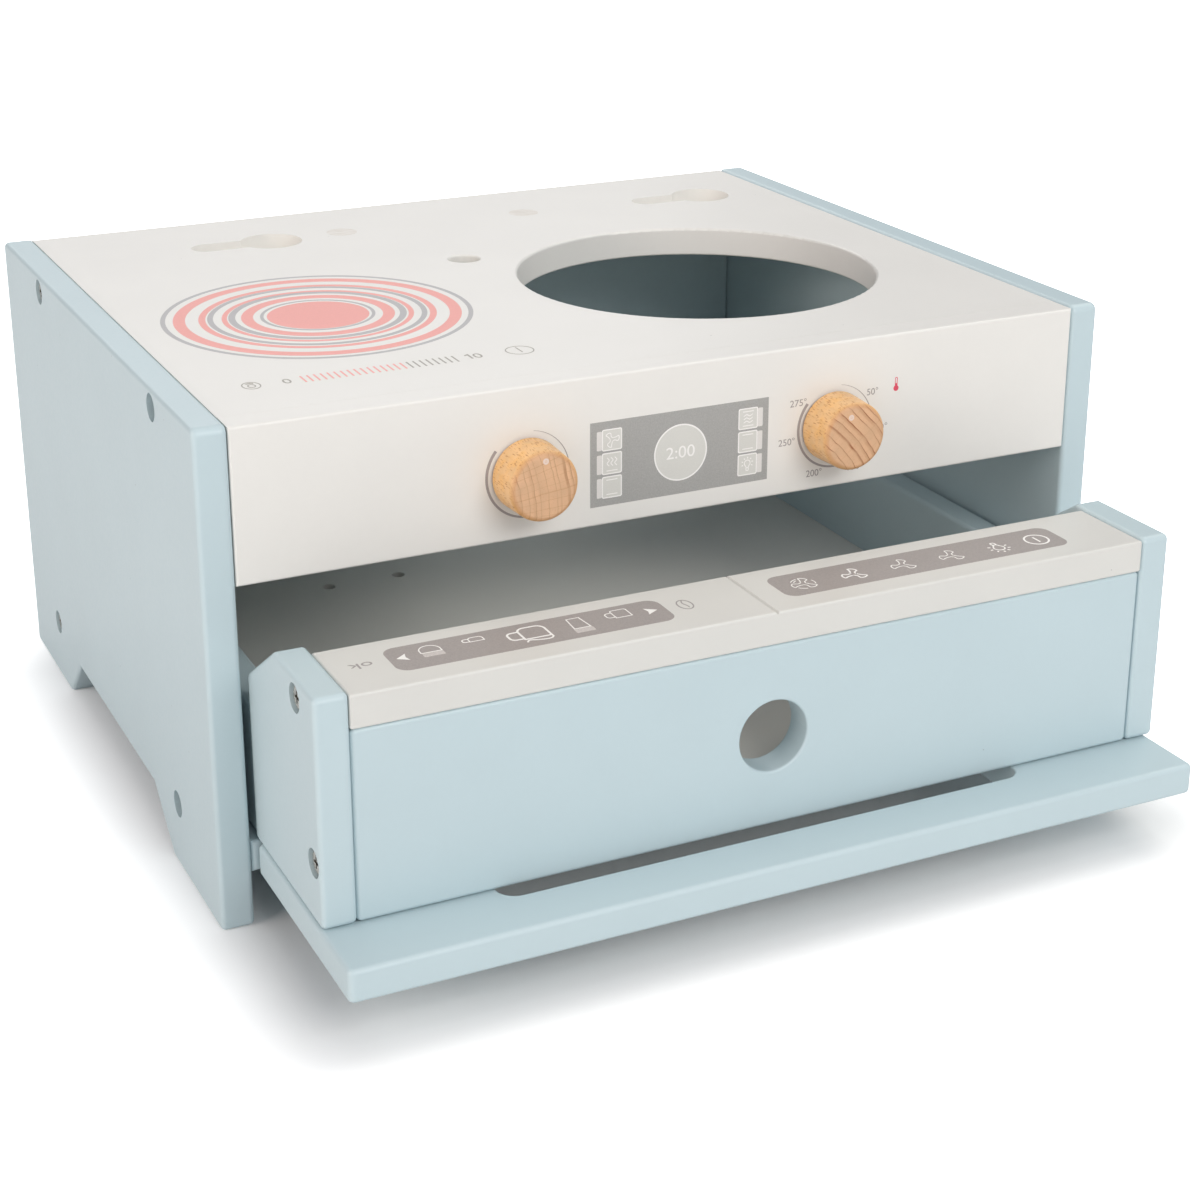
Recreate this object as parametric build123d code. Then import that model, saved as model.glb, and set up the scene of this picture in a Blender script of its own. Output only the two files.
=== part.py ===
from build123d import *
import os

# Wooden toy oven with a hob top, standing with its oven door folded down level and its hood unit
# drawn out over the door. Millimetres. X runs to the right, Y to the back, Z up from the feet.
# The origin is under the centre of the overall box, which runs from the door's free edge to the
# rear of the side panels.

os.makedirs("parts", exist_ok=True)

# Boards
board = 12.0                # thickness of every board
ease = 1.8                  # rounding along board edges
light_ease = 0.9            # along the edges of the white boards
corner_ease = 2.3           # at the corners of the door and the cheeks
seat_gap = 0.1              # glue or paint line between a board and its neighbour

# Case
case_width = 360.0
case_depth = 285.0
case_height = 185.0
top_drop = 0.8              # the side panels stand this far above the hob top
side_corner = 3.0           # radius of the side panels' top corners
foot_corner = 2.3           # radius of the corners of the feet
leg_height = 20.6           # floor to the underside of the bottom panel
arch_drop = 0.9             # the arch ends this far below the bottom panel
arch_front = (61.0, 84.3)   # distance from the front to the arch, at the floor and at its top
arch_rear = (62.8, 83.6)    # distance from the rear to the arch, at the floor and at its top
fascia_height = 56.0
bottom_setback = 0.6        # bottom panel's front edge behind the front plane

# Hob top
sink_place = (65.8, 115.9)  # X, and distance behind the front plane
sink_radius = 73.3
sink_rim = 1.0
tap_place = (-12.4, 174.9)
tap_radius = 6.6
key_places = (-75.5, 133.3)
key_back = 239.0            # distance of the keyholes behind the front plane
key_radius = 13.3
key_depth = 8.0
key_slot_width = 13.0
key_slot_length = 35.0      # round centre to the far end of the slot
key_slot_depth = 5.0
plug_places = (-42.5, 44.2)
plug_back = 241.7
plug_radius = 6.6
plug_length = 9.0

# Screws through the case sides and the hood cheeks
screw_radius = 1.75
screw_length = 38.0
head_radius = 4.5
head_height = 2.6
bore_radius = 5.1           # counterbore
fit_gap = 0.05              # radial clearance of screws and dowels in their holes
case_screw_front = 50.5
case_screw_top_rear = 220.0
case_screw_low_rear = 237.0
rear_head_drop = 0.9        # screw head below the board's face
front_head_drop = 5.5

# Dowels
dowel_radius = 3.0
dowel_length = 22.0
case_dowel_spacing = 120.0

# Oven door
door_side_gap = 2.0
door_end_gap = 2.7          # play between the closed door's length and the opening's height
door_gap = 1.6              # between the door's rear edge and the bottom panel
window_width = 208.0
window_length = 50.0
window_edge = 21.0          # door's free edge to the window
window_corner = 7.0

# Door hinges
hinge_spacing = 220.0
hinge_length = 30.0
leaf = 0.8                  # leaf thickness
leaf_height = 8.0
knuckle_radius = 1.5
knuckle_rise = 0.2          # the knuckles stand this far above the boards
pin_radius = 0.7
pin_gap = 0.05
mortise_gap = 0.1
knuckle_gap = 0.2
hinge_screw_spacing = 20.0
hinge_screw_radius = 0.9
hinge_screw_length = 9.0

# Knobs
knob_x = 62.0
knob_height = 24.1          # knob axis above the fascia's lower edge
knob_radius = 13.4
knob_taper = 0.6            # the face is this much smaller in radius than the base
knob_length = 15.5
knob_round = 2.2
knob_stand = 0.6            # gap between a knob and the fascia
axle_radius = 2.0
axle_in_knob = 10.0
running_gap = 0.06          # radial clearance of an axle in the fascia
washer_radius = 6.0
washer = 1.0
turn_gap = 0.1              # axial play of a knob
nut_radius = 3.8
nut_height = 2.4

# Hood unit, lying on its back as a drawer
hood_side_gap = 1.75        # play between the hood and each case side
hood_offset = 0.9           # it lies this far to the right in its play
hood_lift = 0.4             # clearance above the door and the bottom panel
hood_out = 68.0             # hood front in front of the case's front plane
hood_home_gap = 0.3         # hood front behind the front plane when it is pushed home
hood_rear_gap = 1.2         # and its rear end in front of the back panel
hood_height = 82.0
cheek_depth = 70.6
cheek_top = 41.0            # length of the cheek's top edge before its chamfer
cheek_chamfer_drop = 19.5
control_depth = 37.0
control_drop = 0.8          # control board below the cheeks' top edge
groove_width = 1.4
groove_depth = 0.8
front_recess = 0.5          # hood front board behind the cheeks' front edge
finger_radius = 13.4
finger_height = 34.5        # above the hood's underside
cheek_screw_low = 21.9      # above the hood's underside
rail_height = 50.0
rail_inset = 1.0            # rails inside the cheeks' outer faces
rail_dowels = (15.0, 35.0)  # heights above the hood's underside
floor_dowels = (60.0, 215.0)
floor_hole_x = (-75.4, -43.7)
floor_hole_radius = 2.8
floor_hole_end = 22.0       # from the rear end of the hood's floor

# Worked-out places
side_x = case_width / 2
inner_x = side_x - board
deck = case_height - top_drop
deck_under = deck - board
floor_top = leg_height + board
fascia_bottom = deck - fascia_height
arch_top = leg_height - arch_drop
knob_z = fascia_bottom + knob_height
door_length = fascia_bottom - floor_top - door_end_gap
door_reach = door_length + door_gap - bottom_setback
front = -(case_depth - door_reach) / 2
rear = front + case_depth
bottom_front = front + bottom_setback
door_rear = bottom_front - door_gap
door_front = door_rear - door_length
hood_front = front - hood_out
hood_under = floor_top + hood_lift
hood_top = hood_under + hood_height
hood_x = inner_x - hood_side_gap
hood_length = case_depth - board - hood_home_gap - hood_rear_gap
cheek_rear = hood_front + cheek_depth
hood_rear = hood_front + hood_length
control_top = hood_top - control_drop
control_under = control_top - board
rail_x = hood_x - rail_inset
hinge_y = (door_rear + bottom_front) / 2
hinge_z = floor_top + knuckle_rise - knuckle_radius


def block(x0, x1, y0, y1, z0, z1):
    size = (x1 - x0, y1 - y0, z1 - z0)
    return Pos((x0 + x1) / 2, (y0 + y1) / 2, (z0 + z1) / 2) * Box(*size)


def eased_board(x0, x1, y0, y1, z0, z1, radius=ease):
    part = block(x0, x1, y0, y1, z0, z1)
    return fillet(part.edges(), radius)


def rod_x(radius, x0, x1, y, z):
    return Pos((x0 + x1) / 2, y, z) * Rot(0, 90, 0) * Cylinder(radius, abs(x1 - x0))


def rod_y(radius, x, y0, y1, z):
    return Pos(x, (y0 + y1) / 2, z) * Rot(90, 0, 0) * Cylinder(radius, abs(y1 - y0))


def rod_z(radius, x, y, z0, z1):
    return Pos(x, y, (z0 + z1) / 2) * Cylinder(radius, abs(z1 - z0))


def circles_at(part, z, radius):
    edges = part.edges().filter_by(GeomType.CIRCLE)
    return edges.filter_by(lambda e: abs(e.radius - radius) < 1e-4 and abs(e.center().Z - z) < 1e-4)


# A cross-head screw along X. Its head faces away from the middle of the object.
def side_screw(side, face_x, drop, y, z):
    seat = face_x - drop - head_height
    shank = rod_x(screw_radius, seat - screw_length, seat + head_height / 2, y, z)
    head = rod_x(head_radius, seat, seat + head_height, y, z)
    rim = head.edges().filter_by(GeomType.CIRCLE).sort_by(Axis.X)[-1]
    head = fillet(rim, head_height * 0.45)
    slot = block(seat + head_height * 0.4, seat + head_height * 2, y - 2.2, y + 2.2, z - 0.5, z + 0.5)
    cross = slot + Pos(0, y, z) * Rot(90, 0, 0) * Pos(0, -y, -z) * slot
    screw = (shank + head) - cross
    return screw if side > 0 else mirror(screw, Plane.YZ)


def side_screw_hole(side, face_x, drop, y, z):
    seat = face_x - drop - head_height
    hole = rod_x(bore_radius, seat, face_x + 1, y, z)
    hole += rod_x(screw_radius + fit_gap, seat - screw_length - 1, seat + 1, y, z)
    return hole if side > 0 else mirror(hole, Plane.YZ)


def case_screw_sites():
    top_z = deck - board / 2
    low_z = leg_height + board / 2
    return [
        (front_head_drop, front + case_screw_front, top_z),
        (rear_head_drop, front + case_screw_top_rear, top_z),
        (front_head_drop, front + case_screw_front, low_z),
        (rear_head_drop, front + case_screw_low_rear, low_z),
    ]


def case_screw_holes():
    holes = [side_screw_hole(s, side_x, *site) for s in (-1, 1) for site in case_screw_sites()]
    return Part() + holes


def case_screws():
    return [side_screw(s, side_x, *site) for s in (-1, 1) for site in case_screw_sites()]


def case_dowels(gap=0.0):
    rods = []
    for x in (-case_dowel_spacing, 0, case_dowel_spacing):
        joint_y = front + board
        z = deck - board / 2
        rods.append(rod_y(dowel_radius + gap, x, joint_y - 8 - gap, joint_y - 8 + dowel_length + gap, z))
        joint_y = rear - board
        z = leg_height + board / 2
        rods.append(rod_y(dowel_radius + gap, x, joint_y + 8 + gap, joint_y + 8 - dowel_length - gap, z))
    return rods


# Side panel: a straight board with a shallow arch between its two feet
def side_panel(side):
    outline = [
        (front, 0), (front + arch_front[0], 0), (front + arch_front[1], arch_top),
        (rear - arch_rear[1], arch_top), (rear - arch_rear[0], 0), (rear, 0),
        (rear, case_height), (front, case_height),
    ]
    face = Plane.YZ * make_face(Polyline(*outline, close=True))
    tall = face.vertices().filter_by(lambda v: v.Z > case_height - 1)
    face = fillet(tall, side_corner)
    feet = face.vertices().filter_by(lambda v: v.Z < 1)
    face = fillet(feet, foot_corner)
    panel = Pos(inner_x, 0, 0) * extrude(face, board, dir=(1, 0, 0))
    faces = panel.faces().filter_by(lambda f: abs(f.normal_at().X) > 0.9)
    panel = fillet([edge for f in faces for edge in f.edges()], ease)
    panel -= case_screw_holes()
    return panel if side > 0 else mirror(panel, Plane.YZ)


# One keyhole pocket: a round entry and a shallower slot that runs to the left
def keyhole(x):
    y = front + key_back
    pocket = rod_z(key_radius, x, y, deck - key_depth, deck + 1)
    slot_end = x - key_slot_length + key_slot_width / 2
    floor = deck - key_slot_depth
    pocket += block(slot_end, x, y - key_slot_width / 2, y + key_slot_width / 2, floor, deck + 1)
    pocket += rod_z(key_slot_width / 2, slot_end, y, floor, deck + 1)
    return pocket


def top_panel():
    panel = block(-inner_x + seat_gap, inner_x - seat_gap, front + board + seat_gap, rear, deck_under, deck)
    back_edges = panel.edges().filter_by(Axis.X).group_by(Axis.Y)[-1]
    panel = fillet(back_edges, light_ease)
    sink_x, sink_y = sink_place[0], front + sink_place[1]
    panel -= rod_z(sink_radius, sink_x, sink_y, deck_under - 1, deck + 1)
    panel -= rod_z(tap_radius, tap_place[0], front + tap_place[1], deck_under - 1, deck + 1)
    for x in plug_places:
        panel -= rod_z(plug_radius + fit_gap, x, front + plug_back, deck - plug_length - fit_gap, deck + 1)
    panel = fillet(circles_at(panel, deck, sink_radius), sink_rim)
    panel = fillet(circles_at(panel, deck_under, sink_radius), light_ease)
    panel = fillet(circles_at(panel, deck, tap_radius), light_ease)
    for x in key_places:
        panel -= keyhole(x)
    panel -= case_dowels(fit_gap)
    return panel - case_screw_holes()


def top_plugs():
    y = front + plug_back
    return [rod_z(plug_radius, x, y, deck - plug_length, deck) for x in plug_places]


def fascia_panel():
    x = inner_x - seat_gap * 2
    panel = block(-x, x, front, front + board, fascia_bottom, deck)
    front_edges = panel.edges().filter_by(lambda e: abs(e.center().Y - front) < 1e-3)
    panel = fillet(front_edges, light_ease)
    for side in (-1, 1):
        panel -= rod_y(axle_radius + running_gap, side * knob_x, front - 1, front + board + 1, knob_z)
    return panel - case_dowels(fit_gap)


def back_panel():
    x = inner_x - seat_gap
    panel = eased_board(-x, x, rear - board, rear, leg_height, deck_under - seat_gap)
    return panel - case_dowels(fit_gap)


def bottom_panel():
    x = inner_x - seat_gap
    panel = block(-x, x, bottom_front, rear - board - seat_gap, leg_height, floor_top)
    front_edges = panel.edges().filter_by(lambda e: abs(e.center().Y - bottom_front) < 1e-3)
    panel = fillet(front_edges, ease)
    panel -= hinge_mortises()
    panel -= hinge_screws(fit_gap)
    return panel - case_dowels(fit_gap) - case_screw_holes()


# Drop-down oven door, level in its open position, with its window cut right through
def oven_door():
    x = inner_x - door_side_gap
    door = block(-x, x, door_front, door_rear, leg_height, floor_top)
    door = fillet(door.edges().filter_by(Axis.Z), corner_ease)
    outline = [e for f in door.faces().filter_by(Axis.Z) for e in f.edges()]
    door = fillet(outline, ease)
    middle = door_front + window_edge + window_length / 2
    window = extrude(RectangleRounded(window_width, window_length, window_corner), board * 3, both=True)
    door -= Pos(0, middle, leg_height) * window
    rims = door.edges().filter_by(lambda e: on_window_rim(e, middle))
    door = fillet(rims, light_ease)
    return door - hinge_mortises() - hinge_screws(fit_gap)


def on_window_rim(edge, middle):
    centre = edge.center()
    level = min(abs(centre.Z - leg_height), abs(centre.Z - floor_top)) < 1e-3
    inside_y = abs(centre.Y - middle) < window_length / 2 + 0.01
    return level and inside_y and abs(centre.X) < window_width / 2 + 0.01


# The two butt hinges lie in mortises in the meeting edges, knuckle upwards
def hinge_mortises():
    cuts = []
    for x in (-hinge_spacing / 2, hinge_spacing / 2):
        half = hinge_length / 2 + mortise_gap
        y0 = door_rear - leaf - mortise_gap
        y1 = bottom_front + leaf + mortise_gap
        z0 = hinge_z - leaf_height - mortise_gap
        cuts.append(block(x - half, x + half, y0, y1, z0, floor_top + 1))
    return cuts


def hinge_leaf(x, side):
    edge = door_rear if side < 0 else bottom_front
    y0, y1 = sorted((edge + side * leaf, edge))
    half = hinge_length / 2
    third = hinge_length / 6
    part = block(x - half, x + half, y0, y1, hinge_z - leaf_height, hinge_z - knuckle_radius - knuckle_gap)
    spans = [(-half, -third - knuckle_gap), (third + knuckle_gap, half)] if side < 0 else [(-third, third)]
    for a, b in spans:
        part += block(x + a, x + b, y0, y1, hinge_z - leaf_height, hinge_z)
        part += rod_x(knuckle_radius, x + a, x + b, hinge_y, hinge_z)
    part -= rod_x(pin_radius + pin_gap, x - half - 1, x + half + 1, hinge_y, hinge_z)
    return part - hinge_screws(fit_gap)


def hinge_leaves(side):
    return [hinge_leaf(x, side) for x in (-hinge_spacing / 2, hinge_spacing / 2)]


def hinge_pins():
    half = hinge_length / 2
    centres = (-hinge_spacing / 2, hinge_spacing / 2)
    return [rod_x(pin_radius, x - half, x + half, hinge_y, hinge_z) for x in centres]


def hinge_screws(gap=0.0):
    screws = []
    z = hinge_z - leaf_height / 2 - knuckle_radius / 2
    for x in (-hinge_spacing / 2, hinge_spacing / 2):
        for dx in (-hinge_screw_spacing / 2, hinge_screw_spacing / 2):
            for side, edge in ((-1, door_rear), (1, bottom_front)):
                tip = edge + side * (hinge_screw_length + gap)
                screws.append(rod_y(hinge_screw_radius + gap, x + dx, edge - side * gap, tip, z))
    return screws


# Turned beech knob on its own axle bolt
def knob(side):
    base_y = front - knob_stand
    face_y = base_y - knob_length
    profile = Polyline(
        (0, base_y), (knob_radius, base_y), (knob_radius - knob_taper, face_y), (0, face_y), close=True
    )
    body = revolve(make_face(profile), Axis.Y)
    body = fillet(body.edges().filter_by(GeomType.CIRCLE).sort_by(Axis.Y)[0], knob_round)
    body = fillet(body.edges().filter_by(GeomType.CIRCLE).sort_by(Axis.Y)[-1], knob_round / 3)
    body = Pos(side * knob_x, 0, knob_z) * body
    return body - rod_y(axle_radius + fit_gap, side * knob_x, base_y + 1, base_y - axle_in_knob, knob_z)


def knob_bolt(side):
    x = side * knob_x
    seat = front + board + turn_gap + washer
    bolt = rod_y(axle_radius, x, front - knob_stand - axle_in_knob + fit_gap, seat + 0.5, knob_z)
    head = Pos(x, seat + nut_height / 2, knob_z) * Rot(90, 0, 0) * Cylinder(nut_radius, nut_height)
    head = fillet(head.edges().filter_by(GeomType.CIRCLE).sort_by(Axis.Y)[-1], nut_height * 0.4)
    return bolt + head


def knob_washer(side):
    x = side * knob_x
    y0 = front + board + turn_gap
    ring = rod_y(washer_radius, x, y0, y0 + washer, knob_z)
    return ring - rod_y(axle_radius + fit_gap, x, y0 - 1, y0 + washer + 1, knob_z)


# The hood's pieces are drawn about its own middle and moved by hood_offset when they are written
def cheek_screw_sites():
    control_y = hood_front + control_depth / 2
    board_y = hood_front + front_recess + board / 2
    return [
        (rear_head_drop, control_y, control_top - board / 2),
        (rear_head_drop, board_y, hood_under + cheek_screw_low),
    ]


def hood_screw_holes():
    holes = [side_screw_hole(s, hood_x, *site) for s in (-1, 1) for site in cheek_screw_sites()]
    return Part() + holes


def hood_screws():
    return [side_screw(s, hood_x, *site) for s in (-1, 1) for site in cheek_screw_sites()]


def hood_dowels(gap=0.0):
    rods = []
    half = dowel_length / 2 + gap
    rail_middle = rail_x - board / 2
    floor_edge = rail_x - board
    for side in (-1, 1):
        for height in rail_dowels:
            y0, y1 = cheek_rear - half, cheek_rear + half
            rods.append(rod_y(dowel_radius + gap, side * rail_middle, y0, y1, hood_under + height))
        for back in floor_dowels:
            ends = sorted((side * (floor_edge + 8 + gap), side * (floor_edge + 8 - dowel_length - gap)))
            rods.append(rod_x(dowel_radius + gap, *ends, hood_front + back, hood_under + board / 2))
    return rods


def hood_cheek(side):
    outline = [
        (hood_front, hood_under), (cheek_rear, hood_under), (cheek_rear, hood_top - cheek_chamfer_drop),
        (hood_front + cheek_top, hood_top), (hood_front, hood_top),
    ]
    face = Plane.YZ * make_face(Polyline(*outline, close=True))
    cheek = Pos(hood_x - board, 0, 0) * extrude(face, board, dir=(1, 0, 0))
    cheek = fillet(cheek.edges().filter_by(Axis.X), corner_ease)
    faces = cheek.faces().filter_by(lambda f: abs(f.normal_at().X) > 0.9)
    cheek = fillet([edge for f in faces for edge in f.edges()], ease)
    cheek = cheek if side > 0 else mirror(cheek, Plane.YZ)
    return cheek - hood_screw_holes() - hood_dowels(fit_gap)


def hood_front_board():
    x = hood_x - board - seat_gap
    y = hood_front + front_recess
    part = eased_board(-x, x, y, y + board, hood_under, control_under - seat_gap)
    z = hood_under + finger_height
    part -= rod_y(finger_radius, 0, y - 1, y + board + 1, z)
    rims = part.edges().filter_by(GeomType.CIRCLE).filter_by(lambda e: abs(e.radius - finger_radius) < 1e-4)
    part = fillet(rims, light_ease)
    return part - hood_screw_holes()


# Control board with a shallow cross groove between its two halves
def hood_control_board():
    x = hood_x - board - seat_gap
    part = eased_board(-x, x, hood_front, hood_front + control_depth, control_under, control_top, light_ease)
    groove = Polyline(
        (-groove_width / 2, control_top + 0.01), (groove_width / 2, control_top + 0.01),
        (0, control_top - groove_depth), close=True,
    )
    cut = extrude(Plane.XZ * make_face(groove), case_depth, both=True)
    return part - cut - hood_screw_holes()


def hood_rail(side):
    rail = eased_board(
        rail_x - board, rail_x, cheek_rear + seat_gap, hood_rear, hood_under, hood_under + rail_height
    )
    rail = rail if side > 0 else mirror(rail, Plane.YZ)
    return rail - hood_dowels(fit_gap)


def hood_floor():
    x = rail_x - board - seat_gap
    y0 = hood_front + front_recess + board + seat_gap
    part = block(-x, x, y0, hood_rear, hood_under, hood_under + board)
    rear_edges = part.edges().filter_by(Axis.X).group_by(Axis.Y)[-1]
    part = fillet(rear_edges, ease)
    for hole_x in floor_hole_x:
        y = hood_rear - floor_hole_end
        part -= rod_z(floor_hole_radius, hole_x - hood_offset, y, hood_under - 1, hood_under + board + 1)
    return part - hood_dowels(fit_gap)


def write(name, shapes, offset=0.0):
    solids = shapes if isinstance(shapes, list) else [shapes]
    moved = [Pos(offset, 0, 0) * solid for solid in solids]
    body = moved[0] if len(moved) == 1 else Compound(children=moved)
    body.label = name
    export_step(body, f"parts/{name}.step")


write("left_side_panel", side_panel(-1))
write("right_side_panel", side_panel(1))
write("top_panel", top_panel())
write("top_plugs", top_plugs())
write("fascia_panel", fascia_panel())
write("back_panel", back_panel())
write("bottom_panel", bottom_panel())
write("case_screws", case_screws())
write("case_dowels", case_dowels())

write("oven_door", oven_door())
write("hinge_door_leaves", hinge_leaves(-1))
write("hinge_case_leaves", hinge_leaves(1))
write("hinge_pins", hinge_pins())
write("hinge_screws", hinge_screws())

for hand, side in (("left", -1), ("right", 1)):
    write(f"{hand}_knob", knob(side))
    write(f"{hand}_knob_bolt", knob_bolt(side))
    write(f"{hand}_knob_washer", knob_washer(side))
    write(f"hood_{hand}_cheek", hood_cheek(side), hood_offset)
    write(f"hood_{hand}_rail", hood_rail(side), hood_offset)

write("hood_front_board", hood_front_board(), hood_offset)
write("hood_control_board", hood_control_board(), hood_offset)
write("hood_floor", hood_floor(), hood_offset)
write("hood_screws", hood_screws(), hood_offset)
write("hood_dowels", hood_dowels(), hood_offset)
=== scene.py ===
import bpy
import bmesh
import math
from mathutils import Matrix, Vector


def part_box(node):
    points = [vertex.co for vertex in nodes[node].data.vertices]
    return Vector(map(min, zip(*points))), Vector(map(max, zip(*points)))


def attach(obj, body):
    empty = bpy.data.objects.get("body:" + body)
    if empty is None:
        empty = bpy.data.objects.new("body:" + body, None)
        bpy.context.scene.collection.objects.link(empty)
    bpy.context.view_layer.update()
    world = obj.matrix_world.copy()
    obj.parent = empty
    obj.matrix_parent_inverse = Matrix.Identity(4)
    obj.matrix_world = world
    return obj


# Wooden toy oven with a hob top: lacquered boards, beech knobs and screen-printed marks.
# The frame is in metres. The printed marks are drawn in flat millimetres and laid on their boards.

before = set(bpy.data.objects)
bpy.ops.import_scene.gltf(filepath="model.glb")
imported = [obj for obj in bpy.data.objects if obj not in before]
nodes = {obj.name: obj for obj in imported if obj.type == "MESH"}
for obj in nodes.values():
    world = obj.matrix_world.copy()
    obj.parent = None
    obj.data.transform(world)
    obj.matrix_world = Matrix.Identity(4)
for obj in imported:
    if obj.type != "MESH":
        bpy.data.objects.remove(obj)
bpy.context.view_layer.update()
mm = 0.001
print("frame loaded:", len(nodes), "nodes")


def addObject(name, data):
    obj = bpy.data.objects.new(name, data)
    bpy.context.scene.collection.objects.link(obj)
    return obj


# The camera comes first. Its small shift makes the upright edges lean less.
camera = {
    "sensorWidth": 36.0,  # mm
    "lens": 68.49,  # mm
    "place": (-0.3640, -0.7820, 0.4172),  # metres
    "azimuth": 25.70,  # degrees to the right of straight back
    "downwards": 19.63,  # degrees
    "shift": -0.10,  # share of the frame
    "clip": (0.05, 50),  # metres
}


def makeCamera():
    data = bpy.data.cameras.new("studioCamera")
    data.sensor_width = camera["sensorWidth"]
    data.lens = camera["lens"]
    data.shift_y = camera["shift"]
    data.clip_start, data.clip_end = camera["clip"]
    obj = addObject("studioCamera", data)
    turn, tilt = math.radians(camera["azimuth"]), math.radians(camera["downwards"])
    flat = math.cos(tilt)
    looking = Vector((math.sin(turn) * flat, math.cos(turn) * flat, -math.sin(tilt)))
    obj.location = camera["place"]
    obj.rotation_euler = looking.to_track_quat("-Z", "Y").to_euler()
    bpy.context.scene.camera = obj


makeCamera()
print("camera placed")


# Small tools for the materials


# An sRGB hex code as a linear colour, made lighter or darker by its shade
def linear(code, shade=1.0):
    parts = [int(code[i : i + 2], 16) / 255 for i in (1, 3, 5)]
    parts = [p / 12.92 if p <= 0.04045 else ((p + 0.055) / 1.055) ** 2.4 for p in parts]
    return [min(p * shade, 1.0) for p in parts] + [1.0]


def perMm(size):
    return 1 / (size * mm)  # texture scale at which one feature is this many millimetres


# A node with its own settings, values for its sockets, and links into them
def addNode(tree, kind, settings=None, links=None):
    node = tree.nodes.new(kind)
    for key, value in (settings or {}).items():
        if isinstance(key, str) and hasattr(node, key):
            setattr(node, key, value)
        else:
            node.inputs[key].default_value = value
    for key, source in (links or {}).items():
        tree.links.new(source, node.inputs[key])
    return node


# Grey stops on a colour ramp: place, then brightness
def setRamp(node, stops):
    ramp = node.color_ramp
    while len(ramp.elements) < len(stops):
        ramp.elements.new(0.5)
    for element, (place, value) in zip(ramp.elements, stops):
        element.position = place
        element.color = (value, value, value, 1)


def startMaterial(name, roughness, settings=None):
    material = bpy.data.materials.new(name)
    material.use_nodes = True
    tree = material.node_tree
    shader = tree.nodes["Principled BSDF"]
    shader.inputs["Roughness"].default_value = roughness
    for key, value in (settings or {}).items():
        shader.inputs[key].default_value = value
    where = addNode(tree, "ShaderNodeTexCoord").outputs
    return material, tree, shader, where


# Sprayed satin lacquer on board. The eye gets an even, milky colour, a soft sheen that pales at a low
# angle, a slow drift of tone from the spray passes, and a few dust nibs under the last coat.
lacquer = {
    "blue": "#C3D5DA",
    "white": "#EBE9E4",
    # the white lacquer made a little darker, for the hood's control board and floor
    "darkerWhite": "#DCDBD6",
    "plug": "#EAE6DF",
    "roughness": 0.36,
    "roughnessSwing": (-0.03, 0.04),  # from the smoothest to the dullest patch
    "driftSize": 38.0,  # mm, spray passes
    "drift": 0.012,  # how much lighter and darker the paint gets
    "mottleSize": 2.2,  # mm, uneven film
    "mottleShare": 0.35,  # next to the drift
    "streak": (9, 0.7, 9),  # mm, wood grain that shows through on a plug
    "streakColour": "#B9AC98",
    "plugGrain": 0.35,
    "peelSize": 1.6,  # mm, orange peel, drawn coarser than the real 0.8 so that it shows
    "peelDepth": 0.006,  # mm
    "nibCell": 16.0,  # mm, a nib shows where the middle of a cell lies in the surface
    "nibSize": 0.022,  # share of a cell
    "nibShade": 0.72,
    "emptyCells": 0.55,  # share of the cells without a nib
}


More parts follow.
